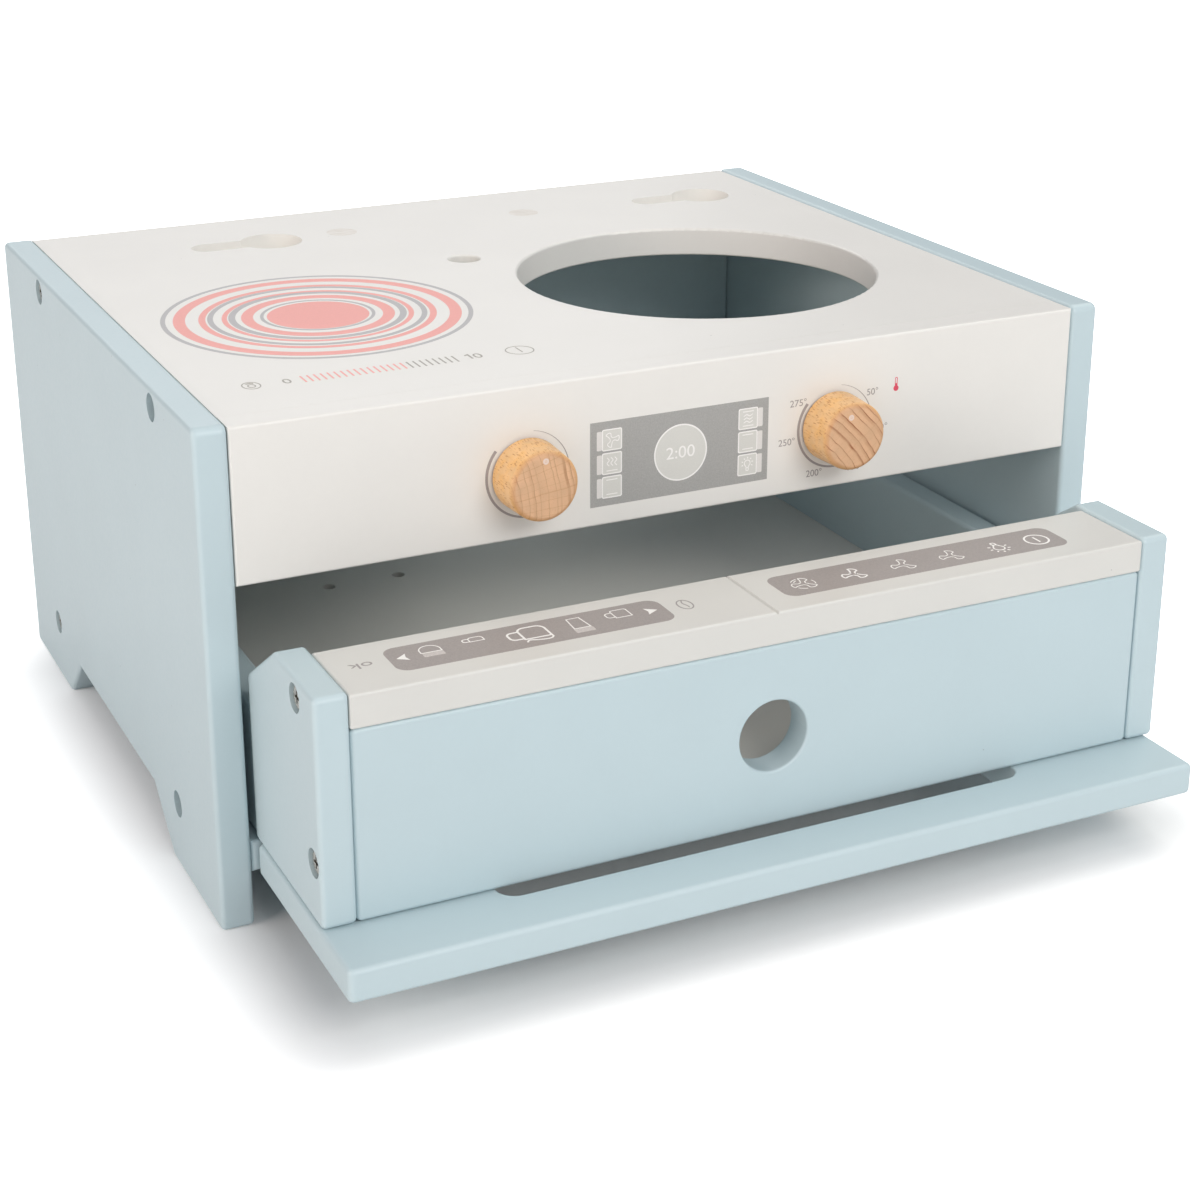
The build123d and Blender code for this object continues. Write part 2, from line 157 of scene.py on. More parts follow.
def satinLacquer(name, code, grain=0.0):
    material, tree, shader, where = startMaterial(name, lacquer["roughness"], {"IOR": 1.5})
    drift = addNode(tree, "ShaderNodeTexNoise", {"Scale": perMm(lacquer["driftSize"]), "Detail": 3.0},
                    {"Vector": where["Object"]})
    mottle = addNode(tree, "ShaderNodeTexNoise", {"Scale": perMm(lacquer["mottleSize"]), "Detail": 4.0},
                     {"Vector": where["Object"]})
    both = addNode(tree, "ShaderNodeMath", {"operation": "MULTIPLY_ADD", 1: lacquer["mottleShare"]},
                   {0: mottle.outputs["Fac"], 2: drift.outputs["Fac"]})
    level = addNode(tree, "ShaderNodeMapRange", {"From Min": 0.45, "From Max": 0.9},
                    {"Value": both.outputs[0]})
    paint = addNode(tree, "ShaderNodeMix", {
        "data_type": "RGBA",
        6: linear(code, 1 - lacquer["drift"]),
        7: linear(code, 1 + lacquer["drift"]),
    }, {0: level.outputs[0]})
    if grain:  # wood that shows through: short streaks across the plug
        streak = addNode(tree, "ShaderNodeMapping", {"Scale": [perMm(size) for size in lacquer["streak"]]},
                         {"Vector": where["Object"]})
        streaks = addNode(tree, "ShaderNodeTexNoise", {"Scale": 1.0, "Detail": 3.0},
                          {"Vector": streak.outputs[0]})
        mask = addNode(tree, "ShaderNodeValToRGB", {}, {0: streaks.outputs["Fac"]})
        setRamp(mask, [(0.42, 0), (0.62, grain)])
        paint = addNode(tree, "ShaderNodeMix", {"data_type": "RGBA", 7: linear(lacquer["streakColour"])},
                        {0: mask.outputs[0], 6: paint.outputs[2]})
    # nibs: only cells whose own random number is high carry one
    cells = addNode(tree, "ShaderNodeTexVoronoi", {"Scale": perMm(lacquer["nibCell"])},
                    {"Vector": where["Object"]})
    chosen = addNode(tree, "ShaderNodeSeparateColor", {}, {0: cells.outputs["Color"]})
    nib = addNode(tree, "ShaderNodeMath", {"operation": "LESS_THAN", 1: lacquer["nibSize"]},
                  {0: cells.outputs["Distance"]})
    rare = addNode(tree, "ShaderNodeMath", {"operation": "GREATER_THAN", 1: lacquer["emptyCells"]},
                   {0: chosen.outputs[0]})
    spot = addNode(tree, "ShaderNodeMath", {"operation": "MULTIPLY"},
                   {0: nib.outputs[0], 1: rare.outputs[0]})
    speckled = addNode(tree, "ShaderNodeMix", {"data_type": "RGBA", 7: linear(code, lacquer["nibShade"])},
                       {0: spot.outputs[0], 6: paint.outputs[2]})
    tree.links.new(speckled.outputs[2], shader.inputs["Base Color"])
    low, high = lacquer["roughnessSwing"]
    gloss = addNode(tree, "ShaderNodeMapRange", {
        "From Min": 0.35, "From Max": 0.65,
        "To Min": lacquer["roughness"] + low, "To Max": lacquer["roughness"] + high,
    }, {"Value": mottle.outputs["Fac"]})
    tree.links.new(gloss.outputs[0], shader.inputs["Roughness"])
    peel = addNode(tree, "ShaderNodeTexNoise", {"Scale": perMm(lacquer["peelSize"]), "Detail": 1.0},
                   {"Vector": where["Object"]})
    bump = addNode(tree, "ShaderNodeBump", {"Strength": 0.6, "Distance": lacquer["peelDepth"] * mm},
                   {"Height": peel.outputs["Fac"]})
    tree.links.new(bump.outputs[0], shader.inputs["Normal"])
    return material


# Turned beech under a thin clear lacquer, grain along the knob's axle. The turned side shows short
# brown flecks on warm yellow; the end shows the growth rings as dark lines crossed by tan rays.
beech = {
    "side": "#EFC28A",
    "end": "#DDB28B",
    # each mark: its colour, then its strength on the turned side and on the end
    "honey": ("#F6BC68", 0.5, 0.0),
    "fleck": ("#B4692C", 0.70, 0.14),
    "rim": ("#B9783F", 0.5, 0.6),
    "ray": ("#C4946A", 0.05),  # on the end, rays and rings are as strong as the blank has them
    "ringOnSide": 0.14,
    "roughness": 0.42,
    "raySpacing": 2.7,  # mm
    "rayUnevenness": 1.5,
    "pithAway": 70.0,  # mm from the axle to the middle of the tree
    "strayCell": 7.0,  # mm, over which rings and rays bend the same way
    "stray": (1.6, 0, 0.9),  # mm, across the rings, along the grain and along the rings
    "pore": (0.5, 2.4, 0.5),  # mm, the same way round
    "honeyCell": 4.5,  # mm
    "fleckDepth": 0.03,  # mm
    # each blank: how it was turned, ring colour, rings and rays on the end, ring spacing and unevenness
    "left": (-9, "#AA7A52", 0.75, 0.85, 2.5, 1.4),
    "right": (-41, "#94501F", 1.0, 0.30, 3.0, 1.4),
    "dowel": (0, "#A8703F", 0.60, 0.30, 2.4, 2.4),
}


def lacqueredBeech(name, centre, turn, ringColour, ringStrength, rayStrength, spacing, unevenness):
    material, tree, shader, where = startMaterial(name, beech["roughness"], {"IOR": 1.5})
    # own x runs across the rings, z along them and y along the grain
    own = addNode(tree, "ShaderNodeMapping", {
        "vector_type": "TEXTURE", "Location": centre, "Rotation": (0, math.radians(turn), 0),
    }, {"Vector": where["Object"]})
    wander = addNode(tree, "ShaderNodeTexNoise", {"Scale": perMm(beech["strayCell"]), "Detail": 3.0},
                     {"Vector": own.outputs[0]})
    push = addNode(tree, "ShaderNodeVectorMath", {"operation": "SUBTRACT", 1: (0.5, 0.5, 0.5)},
                   {0: wander.outputs["Color"]})
    drifted = addNode(tree, "ShaderNodeVectorMath", {
        "operation": "MULTIPLY_ADD", 1: [size * mm for size in beech["stray"]],
    }, {0: push.outputs[0], 2: own.outputs[0]})
    fromPith = addNode(tree, "ShaderNodeVectorMath", {"operation": "ADD", 1: (beech["pithAway"] * mm, 0, 0)},
                       {0: drifted.outputs[0]})
    # one ring a year, counted from the pith, each ending in dark late wood
    axes = addNode(tree, "ShaderNodeSeparateXYZ", {}, {0: fromPith.outputs[0]})
    flat = addNode(tree, "ShaderNodeCombineXYZ", {}, {0: axes.outputs[0], 2: axes.outputs[2]})
    radius = addNode(tree, "ShaderNodeVectorMath", {"operation": "LENGTH"}, {0: flat.outputs[0]})
    years = addNode(tree, "ShaderNodeMath", {"operation": "MULTIPLY", 1: perMm(spacing)},
                    {0: radius.outputs["Value"]})
    weather = addNode(tree, "ShaderNodeTexNoise", {"noise_dimensions": "1D", "Scale": 0.9, "Detail": 1.0},
                      {"W": years.outputs[0]})
    uneven = addNode(tree, "ShaderNodeMath", {"operation": "MULTIPLY_ADD", 1: unevenness},
                     {0: weather.outputs["Fac"], 2: years.outputs[0]})
    growth = addNode(tree, "ShaderNodeMath", {"operation": "FRACT"}, {0: uneven.outputs[0]})
    ringLine = addNode(tree, "ShaderNodeValToRGB", {}, {0: growth.outputs[0]})
    setRamp(ringLine, [(0.0, 0.0), (0.62, 0.06), (0.83, 0.4), (0.91, 1.0), (0.97, 0.85), (1.0, 0.0)])
    # rays run out from the pith, so they are lines at even angles
    angle = addNode(tree, "ShaderNodeMath", {"operation": "ARCTAN2"},
                    {0: axes.outputs[2], 1: axes.outputs[0]})
    rays = addNode(tree, "ShaderNodeMath", {
        "operation": "MULTIPLY", 1: beech["pithAway"] / beech["raySpacing"],
    }, {0: angle.outputs[0]})
    rayNoise = addNode(tree, "ShaderNodeTexNoise", {"noise_dimensions": "1D", "Scale": 1.3, "Detail": 1.0},
                       {"W": rays.outputs[0]})
    rayUneven = addNode(tree, "ShaderNodeMath", {"operation": "MULTIPLY_ADD", 1: beech["rayUnevenness"]},
                        {0: rayNoise.outputs["Fac"], 2: rays.outputs[0]})
    rayStep = addNode(tree, "ShaderNodeMath", {"operation": "FRACT"}, {0: rayUneven.outputs[0]})
    rayLine = addNode(tree, "ShaderNodeValToRGB", {}, {0: rayStep.outputs[0]})
    setRamp(rayLine, [(0.0, 0.0), (0.84, 0.0), (0.92, 1.0), (1.0, 0.0)])
    # pores: long and thin along the grain, so they are dots on the end and flecks on the side
    stretched = addNode(tree, "ShaderNodeMapping", {"Scale": [perMm(size) for size in beech["pore"]]},
                        {"Vector": own.outputs[0]})
    pores = addNode(tree, "ShaderNodeTexNoise", {"Scale": 1.0, "Detail": 2.0},
                    {"Vector": stretched.outputs[0]})
    fleck = addNode(tree, "ShaderNodeValToRGB", {}, {0: pores.outputs["Fac"]})
    setRamp(fleck, [(0.575, 0.0), (0.67, 1.0)])
    # how far the surface faces along the grain: 0 on the turned side, 1 on the end
    facing = addNode(tree, "ShaderNodeSeparateXYZ", {}, {0: where["Normal"]})
    along = addNode(tree, "ShaderNodeMath", {"operation": "ABSOLUTE"}, {0: facing.outputs[1]})
    endShare = addNode(tree, "ShaderNodeMapRange", {"From Min": 0.45, "From Max": 0.98},
                       {"Value": along.outputs[0]})
    edge = addNode(tree, "ShaderNodeValToRGB", {}, {0: along.outputs[0]})
    setRamp(edge, [(0.15, 0.0), (0.60, 0.55), (0.94, 0.45), (0.999, 0.0)])
    bare = addNode(tree, "ShaderNodeMix", {
        "data_type": "RGBA", 6: linear(beech["side"]), 7: linear(beech["end"]),
    }, {0: endShare.outputs[0]})
    honeyAt = addNode(tree, "ShaderNodeTexNoise", {"Scale": perMm(beech["honeyCell"]), "Detail": 2.0},
                      {"Vector": own.outputs[0]})
    honey = addNode(tree, "ShaderNodeValToRGB", {}, {0: honeyAt.outputs["Fac"]})
    setRamp(honey, [(0.45, 0.0), (0.68, 1.0)])
    # lighter and darker patches
    patch = addNode(tree, "ShaderNodeMapRange", {
        "From Min": 0.3, "From Max": 0.7, "To Min": 0.90, "To Max": 1.08,
    }, {"Value": wander.outputs["Fac"]})
    wood = addNode(tree, "ShaderNodeVectorMath", {"operation": "SCALE"},
                   {0: bare.outputs[2], "Scale": patch.outputs[0]})

    # lays one mark over the wood, by its strength on the side and on the end
    def over(below, mask, code, onSide, onEnd):
        share = addNode(tree, "ShaderNodeMapRange", {"To Min": onSide, "To Max": onEnd},
                        {"Value": endShare.outputs[0]})
        amount = addNode(tree, "ShaderNodeMath", {"operation": "MULTIPLY"}, {0: mask, 1: share.outputs[0]})
        mixed = addNode(tree, "ShaderNodeMix", {"data_type": "RGBA", 7: linear(code)},
                        {0: amount.outputs[0], 6: below})
        return mixed.outputs[2]

    # rings fade in and out along their way
    patchy = addNode(tree, "ShaderNodeMapRange", {
        "From Min": 0.35, "From Max": 0.6, "To Min": 0.35, "To Max": 1.0,
    }, {"Value": wander.outputs["Fac"]})
    ringMask = addNode(tree, "ShaderNodeMath", {"operation": "MULTIPLY"},
                       {0: ringLine.outputs[0], 1: patchy.outputs[0]})
    colour = over(wood.outputs[0], honey.outputs[0], *beech["honey"])
    colour = over(colour, rayLine.outputs[0], *beech["ray"], rayStrength)
    colour = over(colour, ringMask.outputs[0], ringColour, beech["ringOnSide"], ringStrength)
    colour = over(colour, fleck.outputs[0], *beech["fleck"])
    colour = over(colour, edge.outputs[0], *beech["rim"])
    tree.links.new(colour, shader.inputs["Base Color"])
    bump = addNode(tree, "ShaderNodeBump", {
        "Strength": 0.3, "Distance": beech["fleckDepth"] * mm, "invert": True,
    }, {"Height": fleck.outputs[0]})
    tree.links.new(bump.outputs[0], shader.inputs["Normal"])
    return material


# Pressed steel, nickel plated: a bright, slightly hazy metal with fine marks from the tumbling drum.
# Rolled brass: the same haze on a yellower metal.
metals = {
    "nickel": "#D6D2CA",
    "brass": "#D9B46A",
    "hazeSize": 0.6,  # mm
    "hazeShade": 0.86,
    "hazeDepth": 0.01,  # mm
    "roughness": 0.24,
    "roughnessRange": (0.16, 0.36),  # from clear to hazy spots
}


def platedMetal(name, code):
    material, tree, shader, where = startMaterial(name, metals["roughness"], {"Metallic": 1.0})
    haze = addNode(tree, "ShaderNodeTexNoise", {"Scale": perMm(metals["hazeSize"]), "Detail": 5.0},
                   {"Vector": where["Object"]})
    tone = addNode(tree, "ShaderNodeMix", {
        "data_type": "RGBA", 6: linear(code, metals["hazeShade"]), 7: linear(code),
    }, {0: haze.outputs["Fac"]})
    smooth, dull = metals["roughnessRange"]
    rough = addNode(tree, "ShaderNodeMapRange", {"To Min": smooth, "To Max": dull},
                    {"Value": haze.outputs["Fac"]})
    bump = addNode(tree, "ShaderNodeBump", {"Strength": 0.3, "Distance": metals["hazeDepth"] * mm},
                   {"Height": haze.outputs["Fac"]})
    tree.links.new(tone.outputs[2], shader.inputs["Base Color"])
    tree.links.new(rough.outputs[0], shader.inputs["Roughness"])
    tree.links.new(bump.outputs[0], shader.inputs["Normal"])
    return material


# Screen-print ink: a thin, even, slightly duller film that keeps the weave of the screen as a mottle.
inks = {
    # each ink: its colour and how strongly it is mottled
    "colours": {
        "salmon": ("#F4A8A0", 0.03),
        "ringGrey": ("#B9B7B8", 0.03),
        "markGrey": ("#A9A49B", 0.04),
        "printGrey": ("#A49E9D", 0.04),
        "panelGrey": ("#A9A8A5", 0.09),
        "stripGrey": ("#A49D9A", 0.08),
        "tab": ("#DAD9D3", 0.02),
        "flap": ("#E4E1DD", 0.02),
        "white": ("#F8F6F3", 0.01),
        "red": ("#DE4A62", 0.02),
        "foam": ("#CDC7C3", 0.10),
        "dot": ("#E9D3C5", 0.02),
    },
    "roughness": 0.45,
    "meshSize": 0.5,  # mm, the screen's weave, drawn coarser than the real 0.1 so that it shows
    "meshDepth": 0.008,  # mm
}


def screenInk(name):
    code, mottle = inks["colours"][name]
    material, tree, shader, where = startMaterial("screenInk." + name, inks["roughness"], {"IOR": 1.48})
    weave = addNode(tree, "ShaderNodeTexNoise", {"Scale": perMm(inks["meshSize"]), "Detail": 2.0},
                    {"Vector": where["Object"]})
    level = addNode(tree, "ShaderNodeMapRange", {"From Min": 0.3, "From Max": 0.7},
                    {"Value": weave.outputs["Fac"]})
    tone = addNode(tree, "ShaderNodeMix", {
        "data_type": "RGBA", 6: linear(code, 1 - mottle), 7: linear(code, 1 + mottle),
    }, {0: level.outputs[0]})
    bump = addNode(tree, "ShaderNodeBump", {"Strength": 0.4, "Distance": inks["meshDepth"] * mm},
                   {"Height": weave.outputs["Fac"]})
    tree.links.new(tone.outputs[2], shader.inputs["Base Color"])
    tree.links.new(bump.outputs[0], shader.inputs["Normal"])
    return material


def middleOf(name):
    low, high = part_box(name)
    return (Vector(low) + Vector(high)) / 2


inkOf = {name: screenInk(name) for name in inks["colours"]}
blueLacquer = satinLacquer("satinBlueLacquer", lacquer["blue"])
whiteLacquer = satinLacquer("satinWhiteLacquer", lacquer["white"])
darkerWhiteLacquer = satinLacquer("satinDarkerWhiteLacquer", lacquer["darkerWhite"])
lacqueredPlug = satinLacquer("lacqueredWoodPlug", lacquer["plug"], lacquer["plugGrain"])
leftBeech = lacqueredBeech("turnedBeechLeft", middleOf("left_knob"), *beech["left"])
rightBeech = lacqueredBeech("turnedBeechRight", middleOf("right_knob"), *beech["right"])
dowelBeech = lacqueredBeech("dowelBeech", middleOf("case_dowels"), *beech["dowel"])
nickelPlate = platedMetal("nickelPlatedSteel", metals["nickel"])
rolledBrass = platedMetal("rolledBrass", metals["brass"])

finishes = [
    (blueLacquer, ["left_side_panel", "right_side_panel", "back_panel", "bottom_panel", "oven_door",
                   "hood_left_cheek", "hood_right_cheek", "hood_front_board", "hood_left_rail",
                   "hood_right_rail"]),
    (whiteLacquer, ["top_panel", "fascia_panel"]),
    (darkerWhiteLacquer, ["hood_control_board", "hood_floor"]),
    (lacqueredPlug, ["top_plugs"]),
    (leftBeech, ["left_knob"]),
    (rightBeech, ["right_knob"]),
    (dowelBeech, ["case_dowels", "hood_dowels"]),
    (nickelPlate, ["case_screws", "hood_screws", "hinge_pins", "left_knob_bolt", "left_knob_washer",
                   "right_knob_bolt", "right_knob_washer"]),
    (rolledBrass, ["hinge_door_leaves", "hinge_case_leaves", "hinge_screws"]),
]
for material, names in finishes:
    for name in names:
        for slot in nodes[name].material_slots:
            slot.material = material
print("finishes given to", sum(len(names) for material, names in finishes), "nodes")


# Drawing tools. A print is a closed plate that starts just inside the paint; an overprint stands a
# step higher, so that no two films share a face.
film = {"under": 0.02, "over": 0.03, "step": 0.015}  # mm


def filmOf(level):
    return -film["under"], film["over"] + film["step"] * level


# A filled outline
def addPatch(bm, outline, level=0):
    low, high = filmOf(level)
    pairs = list(zip(outline, outline[1:] + outline[:1]))
    if sum(a[0] * b[1] - b[0] * a[1] for a, b in pairs) < 0:
        outline = outline[::-1]
    lower = [bm.verts.new((x, y, low)) for x, y in outline]
    upper = [bm.verts.new((x, y, high)) for x, y in outline]
    bm.faces.new(lower[::-1])
    bm.faces.new(upper)
    for i in range(len(outline)):
        j = (i + 1) % len(outline)
        bm.faces.new((lower[i], lower[j], upper[j], upper[i]))


# A drawn line of one width, or of a width that swells from its start to its end
def addLine(bm, points, width, closed=False, level=2):
    low, high = filmOf(level)
    points = [Vector(p).to_2d() for p in points]
    count = len(points)
    widths = width if isinstance(width, tuple) else (width, width)
    rows = []
    for i, point in enumerate(points):
        before = points[i - 1] if closed or i else point
        after = points[(i + 1) % count] if closed or i < count - 1 else point
        arriving, leaving = (point - before), (after - point)
        steps = [s.normalized() for s in (arriving, leaving) if s.length > 1e-9]
        along = sum(steps, Vector((0, 0))).normalized()
        across = Vector((-along.y, along.x))
        mitre = 1 / max(abs(along.dot(steps[0])), 0.5)  # a sharp corner is at most twice as wide
        half = (widths[0] + (widths[1] - widths[0]) * i / max(count - 1, 1)) / 2 * mitre
        right, left = point - across * half, point + across * half
        ends = ((right, low), (left, low), (left, high), (right, high))
        rows.append([bm.verts.new((*p, z)) for p, z in ends])
    for i in range(count if closed else count - 1):
        a, b = rows[i], rows[(i + 1) % count]
        for j in range(4):
            k = (j + 1) % 4
            bm.faces.new((a[k], b[k], b[j], a[j]))
    if not closed:
        bm.faces.new(rows[0])
        bm.faces.new(rows[-1][::-1])


# Angles are in degrees, anticlockwise from the right. A full turn leaves out its last point.
def arc(x, y, radius, start, end, steps, tall=1.0):
    angles = [math.radians(start + (end - start) * i / steps) for i in range(steps + 1)]
    points = [(x + radius * math.cos(a), y + radius * tall * math.sin(a)) for a in angles]
    return points[:-1] if abs(abs(end - start) - 360) < 1e-6 else points


def roundedBox(x0, y0, x1, y1, radius, steps):
    corners = [(x1 - radius, y1 - radius, 0), (x0 + radius, y1 - radius, 90),
               (x0 + radius, y0 + radius, 180), (x1 - radius, y0 + radius, 270)]
    return [p for x, y, start in corners for p in arc(x, y, radius, start, start + 90, steps)]


# A smooth line through a few points
def curveThrough(points, steps=5):
    points = [Vector(p) for p in points]
    last = len(points) - 1
    result = []
    for i in range(last):
        a, b, c, d = [points[min(max(i + k, 0), last)] for k in (-1, 0, 1, 2)]
        for s in range(steps):
            t = s / steps
            bend = (2 * a - 5 * b + 4 * c - d) * (t * t / 2)
            twist = (3 * b - a - 3 * c + d) * (t**3 / 2)
            p = b + (c - a) * (t / 2) + bend + twist
            result.append((p.x, p.y))
    return result + [tuple(points[-1])]


# The finished object as a plain mesh, and the object gone
def plainMesh(obj):
    mesh = bpy.data.meshes.new_from_object(obj.evaluated_get(bpy.context.evaluated_depsgraph_get()))
    bpy.data.objects.remove(obj)
    return mesh


# Lettering stretched to the height and width it has on the board
def addText(bm, words, left, base, height, width):
    curve = bpy.data.curves.new("words", "FONT")
    curve.body, curve.size, curve.extrude, curve.resolution_u = words, 10, 0.5, 6  # scaled below
    mesh = plainMesh(addObject("words", curve))
    xs, ys = [v.co.x for v in mesh.vertices], [v.co.y for v in mesh.vertices]
    wide, tall = width / (max(xs) - min(xs)), height / (max(ys) - min(ys))
    low, high = filmOf(2)
    for v in mesh.vertices:
        x, y = left + (v.co.x - min(xs)) * wide, base + (v.co.y - min(ys)) * tall
        v.co = (x, y, high if v.co.z > 0 else low)
    glyphs = bmesh.new()
    glyphs.from_mesh(mesh)
    bmesh.ops.remove_doubles(glyphs, verts=glyphs.verts, dist=1e-4)
    bmesh.ops.recalc_face_normals(glyphs, faces=glyphs.faces)
    glyphs.to_mesh(mesh)
    glyphs.free()
    bm.from_mesh(mesh)


# Geometry Nodes tree that repeats one mark, in a row by its step or round a point by its turn
def makeRepeatTree():
    tree = bpy.data.node_groups.new("repeatMark", "GeometryNodeTree")
    inputs = {"Mark": "Geometry", "Count": "Int", "Step": "Vector", "Turn": "Float", "Ink": "Material"}
    for name, kind in inputs.items():
        tree.interface.new_socket(name, in_out="INPUT", socket_type="NodeSocket" + kind)
    tree.interface.new_socket("Marks", in_out="OUTPUT", socket_type="NodeSocketGeometry")
    given = addNode(tree, "NodeGroupInput")
    dots = addNode(tree, "GeometryNodePoints", {}, {"Count": given.outputs["Count"]})
    index = addNode(tree, "GeometryNodeInputIndex")
    away = addNode(tree, "ShaderNodeVectorMath", {"operation": "SCALE"},
                   {0: given.outputs["Step"], "Scale": index.outputs[0]})
    turned = addNode(tree, "ShaderNodeMath", {"operation": "MULTIPLY"},
                     {0: given.outputs["Turn"], 1: index.outputs[0]})
    angles = addNode(tree, "ShaderNodeCombineXYZ", {}, {2: turned.outputs[0]})
    placed = addNode(tree, "GeometryNodeSetPosition", {},
                     {"Geometry": dots.outputs[0], "Position": away.outputs[0]})
    marks = addNode(tree, "GeometryNodeInstanceOnPoints", {}, {
        "Points": placed.outputs[0], "Instance": given.outputs["Mark"], "Rotation": angles.outputs[0],
    })
    real = addNode(tree, "GeometryNodeRealizeInstances", {}, {0: marks.outputs[0]})
    inked = addNode(tree, "GeometryNodeSetMaterial", {},
                    {"Geometry": real.outputs[0], "Material": given.outputs["Ink"]})
    addNode(tree, "NodeGroupOutput", {}, {0: inked.outputs[0]})
    return tree


repeatTree = makeRepeatTree()


def repeatMark(mark, ink, count, step=(0, 0, 0), turn=0.0, at=(0, 0)):
    mesh = bpy.data.meshes.new("mark")
    mark.to_mesh(mesh)
    mark.free()
    obj = addObject("mark", mesh)
    modifier = obj.modifiers.new("repeat", "NODES")
    modifier.node_group = repeatTree
    sizes = {"Count": count, "Step": step, "Turn": math.radians(turn), "Ink": ink}
    for socket in repeatTree.interface.items_tree:
        if socket.item_type == "SOCKET" and socket.in_out == "INPUT" and socket.name in sizes:
            modifier[socket.identifier] = sizes[socket.name]
    marks = plainMesh(obj)
    marks.transform(Matrix.Translation((*at, 0)))
    return marks


# Lays a flat millimetre drawing on its board, given where its right, its up and its zero point go
def layOn(right, up, zero):
    right, up = Vector(right), Vector(up)
    turn = Matrix((right, up, right.cross(up))).transposed().to_4x4()
    return Matrix.Translation(Vector(zero)) @ turn @ Matrix.Scale(mm, 4)


# A finished print: laid on its board, inked, and moving with its body
def printPiece(name, drawing, place, ink, body):
    mesh = bpy.data.meshes.new(name)
    drawing.to_mesh(mesh)
    drawing.free()
    mesh.transform(place)
    mesh.materials.clear()
    mesh.materials.append(inkOf[ink])
    obj = addObject(name, mesh)
    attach(obj, body)


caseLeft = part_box("left_side_panel")[0][0]
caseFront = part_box("fascia_panel")[0][1]
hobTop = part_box("top_panel")[1][2]
boardLow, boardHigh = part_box("hood_control_board")
onHob = layOn((1, 0, 0), (0, 1, 0), (caseLeft, caseFront, hobTop))
onFascia = layOn((1, 0, 0), (0, 0, 1), (caseLeft, caseFront, 0))
# the hood lies on its back, so its control board is read from behind
onControls = layOn((-1, 0, 0), (0, -1, 0), ((boardLow[0] + boardHigh[0]) / 2, boardLow[1], boardHigh[2]))


# Cooking zone: rings given as shares of the radius, then the touch scale in front of them.
# A word is its letters, left edge, foot, height and width.
hob = {
    "centre": (83.8, 117.6),  # mm from the case's left front corner
    "radius": 59.2,
    "greyRings": [(1.0, 0.969), (0.704, 0.668), (0.571, 0.527), (0.369, 0.347)],
    "salmonRings": [(0.923, 0.846), (0.762, 0.718), (0.615, 0.581), (0.492, 0.416)],
    "salmonDisc": 0.328,
    "greySlip": 0.45,  # the grey screen sat this far back
    "firstTick": (51.75, 36.9),
    "tickStep": 2.47,
    "tick": (0.66, 7.5),
    "salmonTicks": 16,
    "greyTicks": 8,
    "zero": ("0", 44.3, 38.2, 5.1, 3.0),
    "one": [(113.0, 42.6), (114.4, 43.5), (114.4, 38.3)],  # with the next nought it reads 10
    "oneLine": 0.75,
    "nought": ("0", 115.7, 38.2, 5.3, 3.2),
    "power": (133.7, 40.7, 5.15),
    "powerLine": (-0.5, 0.74),  # from and to, as shares of the ring's radius
    "coil": (33.1, 41.0),
    "coilLoops": [(0.0, 3.15, 1.28, 40), (-0.5, 1.3, 1.3, 24)],  # rise, radius, height to width, steps
    "coilStrokes": [(2.3, 1.3), (1.85, 1.3)],  # radius, height to width
    "strokeTurn": (50, 130),  # degrees
    "strokeLine": 0.6,  # share of the line
    "line": 0.42,
}


def addRing(bm, x, y, outer, inner, level):
    addLine(bm, arc(x, y, (outer + inner) / 2, 0, 360, 120), outer - inner, closed=True, level=level)


def makeHobRings():
    x, y = hob["centre"]
    r = hob["radius"]
    salmon, grey = bmesh.new(), bmesh.new()
    for outer, inner in hob["salmonRings"]:
        addRing(salmon, x, y, outer * r, inner * r, 0)
    addPatch(salmon, arc(x, y, hob["salmonDisc"] * r, 0, 360, 96))
    for outer, inner in hob["greyRings"]:
        addRing(grey, x, y + hob["greySlip"], outer * r, inner * r, 1)
    printPiece("hob_rings_salmon", salmon, onHob, "salmon", "case")
    printPiece("hob_rings_grey", grey, onHob, "ringGrey", "case")


def addScale(bm, ink, first, count):
    x, y = hob["firstTick"]
    wide, tall = hob["tick"]
    step = hob["tickStep"]
    mark = bmesh.new()
    addPatch(mark, [(-wide / 2, 0), (wide / 2, 0), (wide / 2, tall), (-wide / 2, tall)])
    bm.from_mesh(repeatMark(mark, inkOf[ink], count, (step, 0, 0), at=(x + first * step, y)))


# A ring with an upright line in it, from low to high as shares of the radius
def addPowerSign(bm, x, y, radius, width, low, high):
    addLine(bm, arc(x, y, radius, 0, 360, 40), width, closed=True)
    addLine(bm, [(x, y + radius * low), (x, y + radius * high)], width, level=3)


# A coil: a tall outer loop, a small inner one and two fine strokes between them
def addCoil(bm, x, y, width):
    for level, (rise, radius, tall, steps) in enumerate(hob["coilLoops"], start=2):
        addLine(bm, arc(x, y + rise, radius, 0, 360, steps, tall), width, closed=True, level=level)
    for radius, tall in hob["coilStrokes"]:
        addLine(bm, arc(x, y, radius, *hob["strokeTurn"], 12, tall), width * hob["strokeLine"], level=3)


def makeHobMarks():
    salmon, grey = bmesh.new(), bmesh.new()
    addScale(salmon, "salmon", 0, hob["salmonTicks"])
    addScale(grey, "markGrey", hob["salmonTicks"], hob["greyTicks"])
    addText(grey, *hob["zero"])
    addLine(grey, hob["one"], hob["oneLine"])
    addText(grey, *hob["nought"])
    addPowerSign(grey, *hob["power"], hob["line"], *hob["powerLine"])
    addCoil(grey, *hob["coil"], hob["line"])
    printPiece("hob_scale_salmon", salmon, onHob, "salmon", "case")
    printPiece("hob_scale_grey", grey, onHob, "markGrey", "case")


makeHobRings()
makeHobMarks()
print("hob printed")


